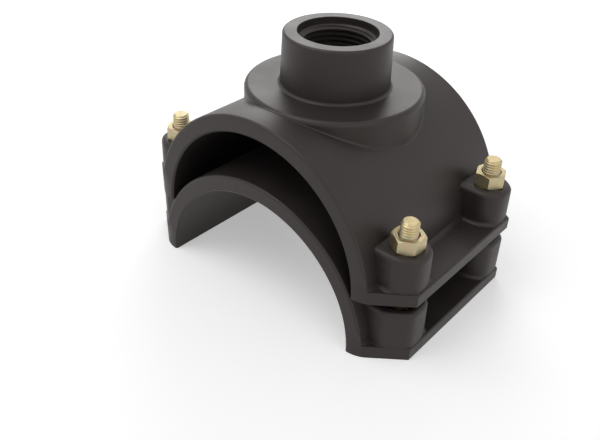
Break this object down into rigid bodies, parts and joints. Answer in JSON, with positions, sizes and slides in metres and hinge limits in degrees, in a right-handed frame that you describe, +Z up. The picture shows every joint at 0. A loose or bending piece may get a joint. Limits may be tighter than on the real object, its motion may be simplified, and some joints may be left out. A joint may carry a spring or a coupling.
{
  "type": "tapping saddle",
  "caption": "Moulded plastic tapping saddle, its halves nested and bolted at the lugs, with a threaded outlet boss on a round pad, for taking a branch from a pressure pipe.",
  "frame": {"origin": "on the floor, midway between the bolts: the centre of the bottom of the box", "axes": "+Z up along the outlet, +Y along the pipe, +X across the pipe towards one pair of bolts"},
  "size_m": [0.1586, 0.1076, 0.1172],
  "materials": {
    "black_plastic": "moulded black polypropylene, satin, with a slightly warm grey sheen",
    "seal_rubber": "plain black rubber",
    "yellow_zinc": "steel, zinc plated and yellow passivated, pale gold with faint pink and green tints"
  },
  "bodies": {
    "saddle_halves": {"upper_half": "black_plastic", "lower_half": "black_plastic", "outlet_seal": "seal_rubber"},
    "bolt_front_right": {"bolt_front_right": "yellow_zinc"},
    "nut_front_right": {"nut_front_right": "yellow_zinc"},
    "bolt_rear_right": {"bolt_rear_right": "yellow_zinc"},
    "nut_rear_right": {"nut_rear_right": "yellow_zinc"},
    "bolt_front_left": {"bolt_front_left": "yellow_zinc"},
    "nut_front_left": {"nut_front_left": "yellow_zinc"},
    "bolt_rear_left": {"bolt_rear_left": "yellow_zinc"},
    "nut_rear_left": {"nut_rear_left": "yellow_zinc"}
  },
  "joints": [
    {"name": "bolt_lift_front_right", "type": "slide", "parent": "saddle_halves", "child": "bolt_front_right", "axis": [0, 0, 1], "range_m": [0, 0.0125]},
    {"name": "nut_turn_front_right", "type": "hinge", "parent": "saddle_halves", "child": "nut_front_right", "pos_m": [0.0678, -0.03425, 0.0564], "axis": [0, 0, 1], "range_deg": [-3600, 0]},
    {"name": "bolt_lift_rear_right", "type": "slide", "parent": "saddle_halves", "child": "bolt_rear_right", "axis": [0, 0, 1], "range_m": [0, 0.0125]},
    {"name": "nut_turn_rear_right", "type": "hinge", "parent": "saddle_halves", "child": "nut_rear_right", "pos_m": [0.0678, 0.03425, 0.0564], "axis": [0, 0, 1], "range_deg": [-3600, 0]},
    {"name": "bolt_lift_front_left", "type": "slide", "parent": "saddle_halves", "child": "bolt_front_left", "axis": [0, 0, 1], "range_m": [0, 0.0125]},
    {"name": "nut_turn_front_left", "type": "hinge", "parent": "saddle_halves", "child": "nut_front_left", "pos_m": [-0.0678, -0.03425, 0.0564], "axis": [0, 0, 1], "range_deg": [-3600, 0]},
    {"name": "bolt_lift_rear_left", "type": "slide", "parent": "saddle_halves", "child": "bolt_rear_left", "axis": [0, 0, 1], "range_m": [0, 0.0125]},
    {"name": "nut_turn_rear_left", "type": "hinge", "parent": "saddle_halves", "child": "nut_rear_left", "pos_m": [-0.0678, 0.03425, 0.0564], "axis": [0, 0, 1], "range_deg": [-3600, 0]}
  ],
  "couplings": [
    {"joint": "nut_turn_front_right", "follows": "bolt_lift_front_right", "rad_per_m": -5026.5},
    {"joint": "nut_turn_rear_right", "follows": "bolt_lift_rear_right", "rad_per_m": -5026.5},
    {"joint": "nut_turn_front_left", "follows": "bolt_lift_front_left", "rad_per_m": -5026.5},
    {"joint": "nut_turn_rear_left", "follows": "bolt_lift_rear_left", "rad_per_m": -5026.5}
  ]
}
